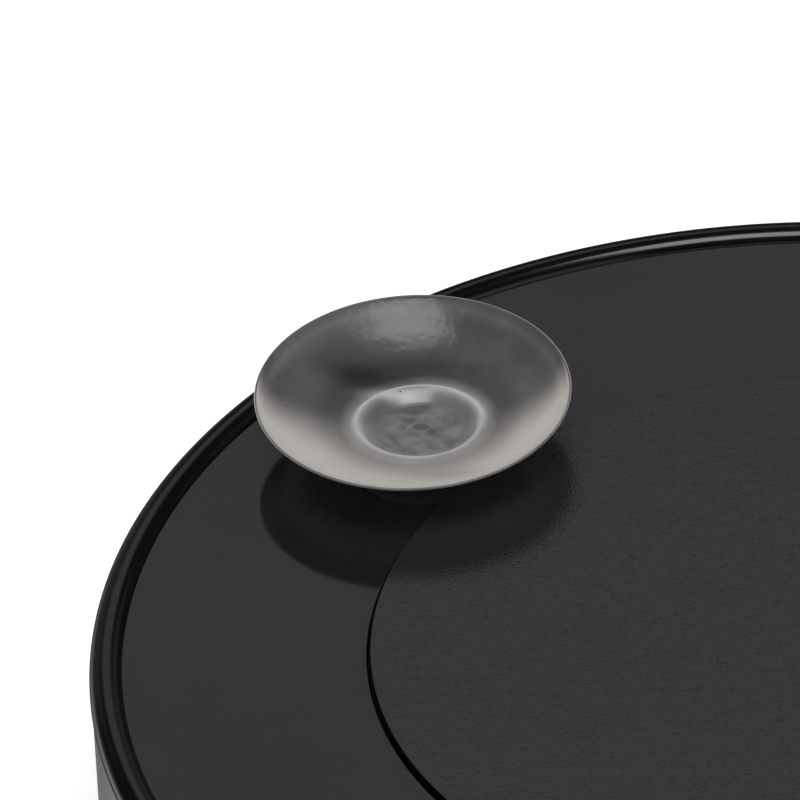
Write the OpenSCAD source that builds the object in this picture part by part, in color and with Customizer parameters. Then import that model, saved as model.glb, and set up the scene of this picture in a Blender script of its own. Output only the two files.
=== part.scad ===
// Motorised display turntable: a low round body, a platter with suction cups, and a geared battery drive.
// Sizes are in millimetres. The floor is z = 0, +Z is up, and the platter turns about the Z axis.
// The battery door slides out towards -Y and the switch is on the +X side.

/* [Body] */
// Outside diameter of the platter's rim
stand_d = 182; // [178:1:200]
// Height of the platter's flat ring above the floor
ring_h = 40; // [39:0.5:50]
// How far the wall of the body stands inside the rim
wall_inset = 0.2; // [0.1:0.1:1]
// Thickness of the body's wall
wall_t = 2.4; // [1.8:0.1:3]
// Thickness of the deck under the platter
deck_t = 2.5; // [2:0.1:3]
// Thickness of the bottom cover
cover_t = 2.4; // [2.2:0.1:3]
// Gap between the turning rim and the wall
seam_gap = 0.4; // [0.3:0.05:1]

/* [Platter] */
// Radius of the rounded bead along the rim
bead_r = 2.2; // [1.6:0.1:3]
// Height of the bead's centre below the ring
bead_sink = 0.95; // [0.6:0.05:1.2]
// Depth of the rim's lower edge below the ring
rim_drop = 1.25; // [1.2:0.05:2]
// Thickness of the platter's plate
plate_t = 2.4; // [2.2:0.1:3.5]
// Distance from the rim to the edge of the grained centre disc
ring_w = 35.55; // [34:0.05:42]
// Thickness of the centre disc
disc_t = 1.7; // [1.2:0.1:2.2]
// Height of the centre disc above the ring
disc_rise = 0.88; // [0.4:0.02:1.5]
// Gap round the centre disc
disc_gap = 0.55; // [0.2:0.05:1]

/* [Suction cups] */
// Diameter of a cup at its lip
cup_d = 41; // [36:0.5:44]
// Height of a cup's lip above the ring
cup_h = 9.5; // [7.5:0.1:11]
// Distance from the rim to the middle of a cup
cup_inset = 24.6; // [23:0.1:26]
// Direction of the first cup, in degrees from +X
cup_angle = 136.4; // [0:0.1:359]
// Diameter of the well in the middle of a cup
well_d = 16; // [12:0.5:17]
// Height of the well's floor above the ring
well_floor = 2.9; // [2:0.1:3.5]
// Diameter of the neck pushed through the platter
neck_d = 6; // [5:0.1:7]

/* [Feet] */
// Diameter of a rubber foot
foot_d = 16; // [12:0.5:20]
// Height of the cover above the floor
foot_h = 2; // [1.5:0.1:4]
// Depth of a foot's seat in the cover
foot_seat = 0.9; // [0.5:0.1:1.2]
// Distance from the rim to the middle of a foot
foot_inset = 17; // [14:0.5:20]

/* [Bearing] */
// Diameter of a bearing ball
ball_d = 5.8; // [4.5:0.1:6.5]
// Number of balls
ball_count = 12; // [8:1:16]
// Radius of the circle the balls run on
ball_circle = 45; // [43:0.5:48]
// Play of a ball in its gap
ball_play = 0.15; // [0.1:0.05:0.3]
// Diameter of the drive spindle
spindle_d = 6; // [5:0.1:6.4]
// Radial clearance of turning shafts
run_play = 0.05; // [0.03:0.01:0.09]
// Radial clearance of pieces pushed or glued together
press_play = 0.02; // [0.01:0.01:0.05]

/* [Gears] */
// Tooth size of every gear
gear_module = 0.6; // [0.55:0.01:0.62]
// Share of a gear level that a gear's face takes
face_share = 0.75; // [0.6:0.01:0.8]
// Free space between the top gear and the deck
gear_headroom = 2; // [1.6:0.1:3]
// Thinning of each tooth for backlash
backlash = 0.1; // [0.06:0.01:0.14]
// Diameter of the fixed gear pins
pin_d = 2; // [1.6:0.1:2.4]
// Thickness of the gear plate
gear_plate_t = 2; // [1.6:0.1:2.4]

/* [Motor] */
// Diameter of the motor can
motor_d = 24.4; // [20:0.1:25]
// Gap between the motor's bearing boss and its pinion
pinion_gap = 1.2; // [0.6:0.1:3]
// Diameter of the motor shaft
motor_shaft_d = 2; // [1.5:0.1:2.4]

/* [Batteries] */
// Diameter of a cell
cell_d = 14.2; // [13.5:0.1:14.5]
// Length of a cell with its button
cell_l = 50; // [49:0.1:50.5]
// Space for a spring at a cell's flat end
spring_l = 6; // [5:0.1:7]
// Distance from the rim to the middle of the battery bay
bay_inset = 32.3; // [31.5:0.1:36]
// Thickness of the battery bay's walls
bay_t = 1.6; // [1.2:0.1:2]
// Distance the battery door slides
door_travel = 45; // [30:1:46]
// Play of the door in its slot
door_play = 0.3; // [0.2:0.05:0.5]

/* [Switch] */
// Width of the switch knob along its travel
knob_w = 5; // [4:0.1:6]
// Height of the switch knob
knob_h = 4; // [3:0.1:5]
// Travel of the switch knob
knob_travel = 5; // [4:0.1:6]
// Height of the switch above the floor
switch_z = 18; // [16:0.5:20]

/* [Hidden] */
$fn = 96;
tiny = 0.01;
rim_r = stand_d / 2;
wall_r = rim_r - wall_inset;
inner_r = wall_r - wall_t;
cover_z = foot_h;
cover_top = cover_z + cover_t;
plate_bottom = ring_h - plate_t;
deck_top = plate_bottom - ball_d - 2 * ball_play;
deck_bottom = deck_top - deck_t;
wall_top = ring_h - rim_drop - seam_gap;
disc_r = rim_r - ring_w;
cup_circle = rim_r - cup_inset;
foot_circle = rim_r - foot_inset;
disc_top = ring_h + disc_rise;
disc_bottom = disc_top - disc_t;
plate_r = inner_r - 0.8;

// Gear levels, counted from the lowest mesh, and the plan of the train.
gear_plate_z = cover_top + 2.1;
gear_plate_top = gear_plate_z + gear_plate_t;
level_0 = gear_plate_top + 3.5;
level_step = (deck_bottom - gear_headroom - level_0) / (3 + face_share);
gear_w = level_step * face_share;
pinion_n = 12;
wheel_n = 48;
output_n = 84;
step_far = gear_module * (pinion_n + output_n) / 2;
step_near = gear_module * (pinion_n + wheel_n) / 2;
turn_c = 90;
turn_b = 150;
turn_a = 190;
turn_m = 250;
pos_c = polar(step_far, turn_c);
pos_b = pos_c + polar(step_near, turn_b);
pos_a = pos_b + polar(step_near, turn_a);
pos_m = pos_a + polar(step_near, turn_m);
motor_bottom = gear_plate_top;
boss_h = 1.5;
pinion_low = level_0 + 3 * level_step - 0.4;
motor_top = pinion_low - pinion_gap - boss_h;
endcap_t = 1.8;
plate_corners = [[-54, 43], [18, 46], [34, -10], [-56, -12]];
plate_margin = 4.6;

// Battery bay, measured from the cells and their springs.
contact_t = 0.5;
cell_r = cell_d / 2;
cell_gap = 1.3;
bay_y = bay_inset - rim_r;
bay_x = (cell_l + spring_l) / 2 + contact_t;
bay_half_y = cell_d + cell_gap / 2 + 0.9 + tiny;
cell_y1 = bay_y + (cell_d + cell_gap) / 2;
cell_y2 = bay_y - (cell_d + cell_gap) / 2;
cell_z = cover_top + 0.5 + cell_r;
bay_top = cell_z + cell_r + 0.1;
tab_top = bay_top + bay_t + 2.2;
door_half = bay_x + 0.7;
door_inner = bay_y + bay_half_y + 1.5;
rail = 2;
ledge_z = cover_z + cover_t * 0.42;

// Switch position, from the wall inwards.
pocket_x = wall_r - 3.2;
block_x = pocket_x - 3;
switch_depth = 7.6;
cavity_w = knob_w / 2 + 0.7 + knob_travel / 2 + 0.3;

cover_screw_angles = [25, 155, 205, 335];
cover_screw_r = inner_r - 8.4;

function polar(radius, angle) = [radius * cos(angle), radius * sin(angle)];
function inv(angle) = tan(angle) * 180 / PI - angle;
function cup_place(index) = polar(cup_circle, cup_angle + 120 * index);
function bezier(a, b, c, steps) =
    [for (i = [0:steps]) let (t = i / steps) (1 - t) * (1 - t) * a + 2 * t * (1 - t) * b + t * t * c];

// One tooth's half angle at a radius, and the outline of a gear with a tooth on the +X axis.
pressure = 25;
function half_tooth(n, pitch_r, base_r, radius) =
    90 / n - backlash / 2 / pitch_r * 180 / PI + inv(pressure) - inv(acos(min(1, base_r / radius)));
function tooth_radii(root_r, base_r, tip_r) =
    let (low = max(root_r, base_r))
    concat(root_r < base_r - 0.01 ? [root_r] : [], [low, (low + tip_r) / 2, tip_r]);
function gear_points(n) =
    let (
        pitch_r = gear_module * n / 2,
        base_r = pitch_r * cos(pressure),
        radii = tooth_radii(pitch_r - 1.25 * gear_module, base_r, pitch_r + 0.95 * gear_module),
        last = len(radii) - 1
    )
    [for (tooth = [0:n - 1])
        for (i = [0:2 * last + 1])
            let (
                rising = i <= last,
                radius = radii[rising ? i : 2 * last + 1 - i],
                half = half_tooth(n, pitch_r, base_r, max(radius, base_r))
            )
            polar(radius, tooth * 360 / n + (rising ? -half : half))];

module gear_teeth(n, z, height, turn) {
    translate([0, 0, z])
        rotate([0, 0, turn])
            linear_extrude(height)
                polygon(gear_points(n));
}

module rod(radius, low, high) {
    translate([0, 0, low])
        cylinder(r = radius, h = high - low);
}

module tube(outer, inner, low, high) {
    difference() {
        rod(outer, low, high);
        rod(inner, low - 1, high + 1);
    }
}

module block(low, high) {
    translate(low)
        cube(high - low);
}

module at(place) {
    translate([place[0], place[1], 0])
        children();
}

// A pan-head screw with a cross recess. Its head is at the low end, as seen from below.
module screw_up(head_z, head_r, head_t, shank_r, tip_z) {
    difference() {
        union() {
            rod(head_r, head_z, head_z + head_t);
            rod(shank_r, head_z + head_t - tiny, tip_z);
        }
        block([-head_r * 0.62, -0.4, head_z - 1], [head_r * 0.62, 0.4, head_z + head_t * 0.55]);
        block([-0.4, -head_r * 0.62, head_z - 1], [0.4, head_r * 0.62, head_z + head_t * 0.55]);
    }
}

// A bent tube as one closed solid: rings of points along a path, each square to the path.
function unit(v) = v / norm(v);
function tangent(path, i) = unit(path[min(i + 1, len(path) - 1)] - path[max(i - 1, 0)]);
function tube_ring(path, i, radius, sides, across) =
    let (
        along = tangent(path, i),
        side = unit(cross(across, along)),
        up = cross(along, side)
    )
    [for (j = [0:sides - 1])
        path[i] + radius * (cos(360 * j / sides) * side + sin(360 * j / sides) * up)];

module bent_tube(path, radius, sides, across) {
    last = len(path) - 1;
    points = [for (i = [0:last]) each tube_ring(path, i, radius, sides, across)];
    walls = [for (i = [0:last - 1]) for (j = [0:sides - 1])
        let (k = (j + 1) % sides)
        each [
            [i * sides + j, (i + 1) * sides + j, (i + 1) * sides + k],
            [i * sides + j, (i + 1) * sides + k, i * sides + k]
        ]];
    first_cap = [for (j = [0:sides - 1]) j];
    last_cap = [for (j = [0:sides - 1]) last * sides + sides - 1 - j];
    polyhedron(points, concat(walls, [first_cap, last_cap]));
}

// A smooth curve through a list of points.
function curve_point(a, b, c, d, t) =
    b + 0.5 * t * (c - a + t * (2 * a - 5 * b + 4 * c - d + t * (3 * (b - c) + d - a)));
function smooth_path(p, steps) =
    let (last = len(p) - 1)
    concat(
        [for (i = [0:last - 1]) for (k = [0:steps - 1])
            curve_point(p[max(i - 1, 0)], p[i], p[i + 1], p[min(i + 2, last)], k / steps)],
        [p[last]]
    );

module wire(points) {
    bent_tube(smooth_path(points, 6), wire_r, 8, [0, 0, 1]);
}

// The shell of the body: wall, deck, pillars, gear-pin sockets and the switch's pocket.
module base_housing() {
    color("#26272a")
    difference() {
        union() {
            tube(wall_r, inner_r, cover_top, wall_top);
            rod(inner_r + tiny, deck_bottom, deck_top);
            tube(ball_circle - ball_d / 2 - 0.9, ball_circle - ball_d / 2 - 2.6,
                deck_top - tiny, deck_top + 3.2);
            for (angle = cover_screw_angles)
                at(polar(cover_screw_r, angle)) {
                    rod(3.6, cover_top, deck_bottom + tiny);
                    rotate([0, 0, angle])
                        block([0, -0.8, cover_top + 3], [8.5, 0.8, deck_bottom + tiny]);
                }
            for (corner = plate_corners)
                at(corner)
                    rod(3.5, gear_plate_top, deck_bottom + tiny);
            at(pos_c)
                rod(2.5, level_0 + level_step + gear_w + 0.2, deck_bottom + tiny);
            at(pos_b)
                rod(2.5, level_0 + 2 * level_step + gear_w + 0.2, deck_bottom + tiny);
            at(pos_a)
                rod(2.5, level_0 + 3 * level_step + gear_w + 0.2, deck_bottom + tiny);
            intersection() {
                block([block_x, -12, switch_z - 8], [wall_r, 12, switch_z + 8]);
                rod(wall_r - tiny, 0, deck_top);
            }
            for (side = [-1, 1])
                translate([0, side * (cavity_w + 2.3), 0])
                    block([block_x - 4, -0.7, switch_z - 4], [block_x + tiny, 0.7, switch_z + 4]);
        }
        rod(6, deck_bottom - 1, deck_top + 5);
        for (angle = cover_screw_angles)
            at(polar(cover_screw_r, angle))
                rod(1.25, cover_top - 1, cover_top + 12);
        for (corner = plate_corners)
            at(corner)
                rod(1.25, gear_plate_top - 1, gear_plate_top + 10);
        for (place = [pos_a, pos_b, pos_c])
            at(place)
                rod(pin_d / 2, level_0, deck_bottom + 1.5);
        block([pocket_x, -9, switch_z - 5], [rim_r + 1, 9, switch_z + 5]);
        block([block_x - 1, -knob_travel / 2 - knob_w / 2 - 0.4, switch_z - knob_h / 2 - 0.3],
            [rim_r, knob_travel / 2 + knob_w / 2 + 0.4, switch_z + knob_h / 2 + 0.3]);
    }
}

// The outline of the slot that the battery door runs in, with its ledge.
module door_slot(play, low, high) {
    block([-door_half - play, -rim_r - 5, low], [door_half + play, door_inner + play, ledge_z + tiny]);
    block([-door_half - rail - play, -rim_r - 5, ledge_z],
        [door_half + rail + play, door_inner + play, high]);
}

// The round bottom plate with the battery bay, foot seats and screw holes.
module bottom_cover() {
    color("#232427")
    difference() {
        union() {
            difference() {
                rod(wall_r - 0.3, cover_z, cover_top);
                door_slot(door_play, cover_z - 1, cover_top + 1);
            }
            difference() {
                tube(inner_r - 0.2, inner_r - 2, cover_top - tiny, cover_top + 2);
                for (angle = cover_screw_angles)
                    at(polar(cover_screw_r + 4, angle))
                        rod(6, cover_top - 1, cover_top + 3);
            }
            block([-bay_x - bay_t, bay_y - bay_half_y - bay_t, cover_top],
                [bay_x + bay_t, bay_y + bay_half_y + bay_t, bay_top + bay_t]);
            intersection() {
                rod(inner_r - 0.2, 0, deck_bottom);
                union() {
                    for (side = [-1, 1])
                        translate([side * (door_half + rail + 1.5), 0, 0])
                            block([-1.9, -rim_r, cover_top - tiny], [1.9, door_inner + 2, cover_top + 1.6]);
                    for (side = [-1, 1])
                        translate([side * (bay_x + bay_t + 1.2), bay_y, 0])
                            block([-2, -12, cover_top - tiny], [2, 12, cover_top + 1.6]);
                    block([-door_half - rail - 3, bay_y + bay_half_y + tiny, cover_top - tiny],
                        [door_half + rail + 3, door_inner + 3, cover_top + 1.6]);
                }
            }
        }
        block([-bay_x, bay_y - bay_half_y, cover_top - 1], [bay_x, bay_y + bay_half_y, bay_top]);
        for (y = [cell_y1, cell_y2])
            translate([-bay_x, y, 0])
                block([-0.2, -2.2, bay_top - 1], [contact_t + 0.2, 2.2, bay_top + bay_t + 1]);
        for (angle = [45, 135, 225, 315])
            at(polar(foot_circle, angle))
                rod(foot_d / 2 + 0.1, cover_z - 1, cover_z + foot_seat);
        for (angle = cover_screw_angles)
            at(polar(cover_screw_r, angle)) {
                rod(1.6, cover_z - 1, cover_top + 1);
                rod(3.1, cover_z - 1, cover_z + 1.4);
            }
    }
}

// The sliding lid of the battery bay, with finger ridges at its outer end.
module battery_door() {
    color("#2a2b2e")
    union() {
        intersection() {
            union() {
                block([-door_half, -rim_r, cover_z], [door_half, door_inner, ledge_z + 0.1 + tiny]);
                block([-door_half - rail, -rim_r, ledge_z + 0.1],
                    [door_half + rail, door_inner, cover_top - 0.2]);
            }
            rod(wall_r - 0.5, 0, cover_top);
        }
        for (i = [0:4])
            translate([0, 7 - rim_r + 2.6 * i, 0])
                block([-14, 0, cover_z - 0.6], [14, 1.2, cover_z + tiny]);
    }
}

module foot(angle) {
    color("#1a1a1b")
    at(polar(foot_circle, angle))
        difference() {
            rod(foot_d / 2, 0, cover_z + foot_seat);
            rod(foot_d / 2 - 3.5, -1, 0.5);
        }
}

module foot_front_left() {
    foot(225);
}

module foot_front_right() {
    foot(315);
}

module foot_rear_left() {
    foot(135);
}

module foot_rear_right() {
    foot(45);
}

// Screws that hold the cover to the pillars.
module cover_screws() {
    color("#8d8f92")
    for (angle = cover_screw_angles)
        at(polar(cover_screw_r, angle))
            screw_up(cover_z + 0.1, 2.8, 1.3, 1.25, cover_top + 11);
}

// The upper end of the spindle, with its flat, as a solid for both the spindle and its socket.
module spindle_end(low, high, play = 0) {
    intersection() {
        rod(spindle_d / 2 + play, low, high);
        block([-spindle_d, -spindle_d, low], [spindle_d / 2 - 0.6 + play, spindle_d, high]);
    }
}

// The section of the turning top: plate, rounded rim, skirt and hub.
module platter_section() {
    difference() {
        union() {
            translate([0, plate_bottom])
                square([plate_r, plate_t]);
            translate([plate_r - 1, ring_h - rim_drop])
                square([rim_r - plate_r + 1, rim_drop - bead_sink]);
            intersection() {
                translate([rim_r - bead_r, ring_h - bead_sink])
                    circle(r = bead_r);
                translate([rim_r - 2 * bead_r - 1, ring_h - bead_sink])
                    square([2 * bead_r + 2, bead_r + 1]);
            }
            translate([plate_r - 4.3, plate_bottom - 2.4])
                square([1.8, 3]);
            translate([0, deck_top + 1.8])
                square([9, plate_bottom - deck_top - 1]);
        }
        translate([-1, disc_bottom])
            square([disc_r + disc_gap + 1, plate_t]);
    }
}

// The turning top, with a socket for the spindle, a screw hole and holes for the cups.
module platter() {
    color("#2b2c2f")
    difference() {
        union() {
            rotate_extrude()
                platter_section();
            for (index = [0:2])
                at(cup_place(index))
                    rod(7, plate_bottom - 0.6, plate_bottom + tiny);
        }
        spindle_end(deck_top, plate_bottom - 1.4, press_play);
        rod(1.7, deck_top, ring_h);
        rod(3.2, disc_bottom - 1.7, ring_h);
        for (index = [0:2])
            at(cup_place(index))
                rod(neck_d / 2 + press_play, plate_bottom - 5, ring_h + 1);
    }
}

// The grained disc that covers the middle of the platter.
module centre_disc() {
    color("#303134")
    union() {
        rod(disc_r, disc_bottom, disc_top - 0.3);
        translate([0, 0, disc_top - 0.3])
            cylinder(r1 = disc_r, r2 = disc_r - 0.3, h = 0.3);
    }
}

// The section of a suction cup, from its well to its lip and back along the outside.
function cup_section() =
    let (
        lip = cup_d / 2,
        step_z = well_floor + 1.2,
        well = well_d / 2
    )
    concat(
        [[0, well_floor], [well, well_floor]],
        bezier([well + 1.2, step_z], [lip * 0.7, step_z + 0.9], [lip - 0.45, cup_h], 10),
        [[lip - 0.1, cup_h - 0.1], [lip, cup_h - 0.35], [lip - 0.05, cup_h - 0.8]],
        bezier([lip - 0.4, cup_h - 1.1], [lip * 0.62, cup_h * 0.52], [well + 1, 0], 10),
        [[0, 0]]
    );

// One soft suction cup with the neck and mushroom head that hold it in the platter.
module suction_cup(index) {
    color("#c9cbc8")
    at(cup_place(index))
        union() {
            translate([0, 0, ring_h])
                rotate_extrude()
                    polygon(cup_section());
            rod(neck_d / 2, plate_bottom - 0.6, ring_h + 0.5);
            translate([0, 0, plate_bottom - 2.9])
                cylinder(r1 = neck_d / 2 - 0.6, r2 = neck_d / 2 + 1.6, h = 2.3);
        }
}

module suction_cup_1() {
    suction_cup(0);
}

module suction_cup_2() {
    suction_cup(1);
}

module suction_cup_3() {
    suction_cup(2);
}

// The screw that holds the platter on the spindle, hidden by the centre disc.
module platter_screw() {
    color("#8d8f92")
    rotate([180, 0, 0])
        screw_up(-disc_bottom + 0.1, 2.8, 1.6, 1.5, -deck_top + 1);
}

// The drive spindle, with its flat, clip groove and tapped end.
module spindle() {
    color("#b9bbbd")
    difference() {
        union() {
            rod(spindle_d / 2, gear_plate_z + 0.3, deck_top + 1.8);
            spindle_end(deck_top + 1.8 - tiny, plate_bottom - 1.4);
        }
        tube(spindle_d, spindle_d / 2 - 0.7, deck_bottom - 1.9, deck_bottom - 1.3);
        rod(1.5, deck_top - 1.5, ring_h);
    }
}

// The flanged bush in the deck that the spindle turns in.
module spindle_bush() {
    color("#b08d57")
    difference() {
        union() {
            rod(6, deck_bottom - 1, deck_top + tiny);
            rod(8, deck_top, deck_top + 1.2);
        }
        rod(spindle_d / 2 + run_play, deck_bottom - 2, deck_top + 3);
    }
}

// The flanged bush in the gear plate for the spindle's lower end.
module lower_bush() {
    color("#b08d57")
    difference() {
        union() {
            rod(5, gear_plate_z, gear_plate_top + tiny);
            rod(7, gear_plate_top, gear_plate_top + 1.5);
        }
        rod(spindle_d / 2 + run_play, gear_plate_z - 1, gear_plate_top + 3);
    }
}

// The clip in the spindle's groove that stops the platter lifting off.
module retaining_clip() {
    color("#7d7f82")
    difference() {
        tube(5, spindle_d / 2 - 0.7, deck_bottom - 1.85, deck_bottom - 1.35);
        block([-1.6, 0, 0], [1.6, 8, deck_top]);
    }
}

// The ring that spaces the bearing balls.
module ball_cage() {
    color("#d9d6cc")
    difference() {
        tube(ball_circle + ball_d / 2 + 0.8, ball_circle - ball_d / 2 - 0.6,
            deck_top + ball_play + ball_d / 2 - 1, deck_top + ball_play + ball_d / 2 + 1);
        for (i = [0:ball_count - 1])
            at(polar(ball_circle, i * 360 / ball_count))
                rod(ball_d / 2 + 0.1, deck_top, plate_bottom);
    }
}

// Balls between the deck and the platter.
module bearing_balls() {
    color("#c6c8ca")
    for (i = [0:ball_count - 1])
        at(polar(ball_circle, i * 360 / ball_count))
            translate([0, 0, deck_top + ball_play + ball_d / 2])
                sphere(r = ball_d / 2);
}

// The large gear on the spindle.
module output_gear() {
    color("#e3e0d5")
    difference() {
        union() {
            gear_teeth(output_n, level_0, gear_w + 0.5, turn_c + 180 / output_n);
            rod(6, gear_plate_top + 2.3, level_0 + gear_w + 2.5);
        }
        rod(spindle_d / 2 + press_play, gear_plate_top, level_0 + 20);
        for (i = [0:4])
            rotate([0, 0, i * 72])
                translate([gear_module * output_n * 0.32, 0, level_0 - 1])
                    cylinder(r = gear_module * output_n * 0.105, h = gear_w + 3);
    }
}

// A stepped gear: its pinion below on one level and its wheel above on the next.
module stepped_gear(place, level, pinion_turn, wheel_turn) {
    low = level_0 + level * level_step;
    at(place)
        difference() {
            union() {
                gear_teeth(pinion_n, low, level_step + tiny, pinion_turn);
                gear_teeth(wheel_n, low + level_step, gear_w, wheel_turn);
            }
            rod(pin_d / 2 + run_play, low - 1, low + level_step + gear_w + 1);
        }
}

// The pinion has a tooth, and the wheel a gap, on the line to the gear it meets.
module gear_c() {
    color("#e9e6da")
    stepped_gear(pos_c, 0, turn_c + 180, turn_b + 180 / wheel_n);
}

module gear_b() {
    color("#e3e0d5")
    stepped_gear(pos_b, 1, turn_b + 180, turn_a + 180 / wheel_n);
}

module gear_a() {
    color("#e9e6da")
    stepped_gear(pos_a, 2, turn_a + 180, turn_m + 180 / wheel_n);
}

// Fixed steel pins between the gear plate and the deck.
module gear_pins() {
    color("#b9bbbd")
    for (place = [pos_a, pos_b, pos_c])
        at(place)
            rod(pin_d / 2, gear_plate_z, deck_bottom + 1.5);
}

// Where the two motor terminals leave the end cap.
module terminal_tabs() {
    at(pos_m)
        for (angle = [-110, -70])
            rotate([0, 0, angle])
                block([motor_d / 2 - 4, -1.2, motor_bottom + 0.7],
                    [motor_d / 2 + 3.4, 1.2, motor_bottom + 1.3]);
}

// The plate that carries the motor, the gear pins and the lower bush.
module gear_plate() {
    color("#3a3b3e")
    difference() {
        union() {
            translate([0, 0, gear_plate_z])
                linear_extrude(gear_plate_t)
                    polygon([
                        plate_corners[0] + plate_margin * [-1, 1], plate_corners[1] + plate_margin * [1, 1],
                        plate_corners[2] + plate_margin * [1, -1], plate_corners[3] + plate_margin * [-1, -1]
                    ]);
            at(pos_c)
                rod(2.5, gear_plate_z, level_0 - 0.2);
            at(pos_b)
                rod(2.5, gear_plate_z, level_0 + level_step - 0.2);
            at(pos_a)
                rod(2.5, gear_plate_z, level_0 + 2 * level_step - 0.2);
            at(pos_m)
                tube(motor_d / 2 + 1.6, motor_d / 2, gear_plate_top - tiny, motor_bottom + 6);
        }
        rod(5, gear_plate_z - 1, gear_plate_top + 1);
        for (corner = plate_corners)
            at(corner)
                rod(1.6, gear_plate_z - 1, gear_plate_top + 1);
        for (place = [pos_a, pos_b, pos_c])
            at(place)
                rod(pin_d / 2, gear_plate_z - 1, deck_bottom);
        at(pos_m)
            for (angle = [-110, -70])
                rotate([0, 0, angle])
                    block([motor_d / 2 - 1, -1.8, gear_plate_top], [motor_d / 2 + 3, 1.8, motor_bottom + 7]);
    }
}

// Screws that hold the gear plate to the deck's pillars.
module gear_plate_screws() {
    color("#8d8f92")
    for (corner = plate_corners)
        at(corner)
            screw_up(gear_plate_z - 1.5, 2.8, 1.5, 1.25, gear_plate_top + 8);
}

// The motor's steel can, open at the bottom, with a bearing boss on top.
module motor_can() {
    color("#a9abad")
    at(pos_m)
        difference() {
            union() {
                rod(motor_d / 2, motor_bottom + endcap_t, motor_top);
                rod(3, motor_top - tiny, motor_top + boss_h);
            }
            rod(motor_d / 2 - 0.7, motor_bottom, motor_top - 0.9);
            rod(motor_shaft_d / 2 + run_play, motor_bottom, motor_top + 3);
        }
}

// The plastic end cap that closes the can and holds the terminals.
module motor_endcap() {
    color("#e4e2da")
    difference() {
        at(pos_m)
            difference() {
                rod(motor_d / 2, motor_bottom, motor_bottom + endcap_t);
                rod(motor_shaft_d / 2 + run_play, motor_bottom + 0.5, motor_bottom + endcap_t + 1);
            }
        terminal_tabs();
    }
}

// Two curved magnets inside the can.
module motor_magnets() {
    color("#4c4d50")
    at(pos_m)
        difference() {
            tube(motor_d / 2 - 0.7 - press_play, motor_d / 2 - 2.5, motor_bottom + endcap_t + 0.6, motor_top - 1.5);
            block([-2.5, -motor_d, motor_bottom], [2.5, motor_d, motor_top]);
        }
}

// Brass terminals of the motor.
module motor_terminals() {
    color("#c9a54c")
    terminal_tabs();
}

module motor_shaft() {
    color("#c6c8ca")
    at(pos_m)
        rod(motor_shaft_d / 2, motor_bottom + 0.6, level_0 + 3 * level_step + gear_w + 0.5);
}

// The three-pole rotor with its commutator.
module motor_armature() {
    color("#8a5a3a")
    at(pos_m)
        difference() {
            union() {
                rod(motor_d / 2 - 3.1, motor_bottom + endcap_t + 1.6, motor_top - 2.4);
                rod(2.6, motor_bottom + endcap_t + 0.4, motor_bottom + endcap_t + 2);
            }
            rod(motor_shaft_d / 2, motor_bottom, motor_top);
            for (i = [0:2])
                rotate([0, 0, 60 + 120 * i])
                    block([4, -0.9, motor_bottom], [motor_d, 0.9, motor_top]);
        }
}

module motor_pinion() {
    color("#c9a54c")
    at(pos_m)
        difference() {
            gear_teeth(pinion_n, pinion_low, gear_w + 0.8, turn_m + 180);
            rod(motor_shaft_d / 2, pinion_low - 1, pinion_low + gear_w + 2);
        }
}

// A round cell along X: its button faces +X before it is turned.
module cell(y, turn) {
    translate([0, y, cell_z])
        rotate([0, 0, turn])
            translate([-(cell_l - spring_l) / 2, 0, 0])
                rotate([0, 90, 0])
                    union() {
                        rod(cell_r, 0, cell_l - 1.5);
                        rod(2.75, cell_l - 1.5 - tiny, cell_l);
                    }
}

module battery_1() {
    color("#3f6fa0")
    cell(cell_y1, 0);
}

module battery_2() {
    color("#3f6fa0")
    cell(cell_y2, 180);
}

// The plate that joins the two cells at the +X end.
module contact_link() {
    color("#c8c9c6")
    block([bay_x - contact_t, cell_y2 - 6, cell_z - 6], [bay_x, cell_y1 + 6, cell_z + 6]);
}

// A contact plate at the -X end with a solder tab through the top of the bay.
module contact_plate(y) {
    color("#c8c9c6")
    union() {
        block([-bay_x, y - 6, cell_z - 6], [-bay_x + contact_t, y + 6, cell_z + 6]);
        block([-bay_x, y - 2, cell_z], [-bay_x + contact_t, y + 2, tab_top]);
    }
}

module contact_positive() {
    contact_plate(cell_y2);
}

module contact_negative() {
    contact_plate(cell_y1);
}

// A helical spring between a contact plate and a cell's flat end.
spring_wire = 0.4;
spring_r = 3.2;
spring_turns = 3.5;
spring_steps = 56;
spring_pitch = (spring_l - 2 * spring_wire) / spring_turns;
echo(spring_self_gap = spring_pitch - 2 * spring_wire);

module spring_tube() {
    path = [for (i = [0:spring_steps])
        let (turns = spring_turns * i / spring_steps)
        [spring_wire + spring_pitch * turns, spring_r * cos(360 * turns), spring_r * sin(360 * turns)]];
    bent_tube(path, spring_wire, 8, [1, 0, 0]);
}

module battery_spring_1() {
    color("#c6c8ca")
    translate([-bay_x + contact_t, cell_y1, cell_z])
        spring_tube();
}

module battery_spring_2() {
    color("#c6c8ca")
    translate([bay_x - contact_t, cell_y2, cell_z])
        rotate([0, 0, 180])
            spring_tube();
}

// The switch's case behind the wall.
module switch_body() {
    color("#3c3d40")
    difference() {
        block([block_x - switch_depth, -cavity_w - 1.6, switch_z - 4.4],
            [block_x, cavity_w + 1.6, switch_z + 4.4]);
        block([block_x - switch_depth + 2.4, -cavity_w, switch_z - 3.2],
            [block_x + 1, cavity_w, switch_z + 3.2]);
        for (y = [-4, 0, 4])
            block([block_x - switch_depth - 1, y - 0.6, switch_z - 0.3],
                [block_x - switch_depth + 1.4, y + 0.6, switch_z + 0.3]);
    }
}

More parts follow.
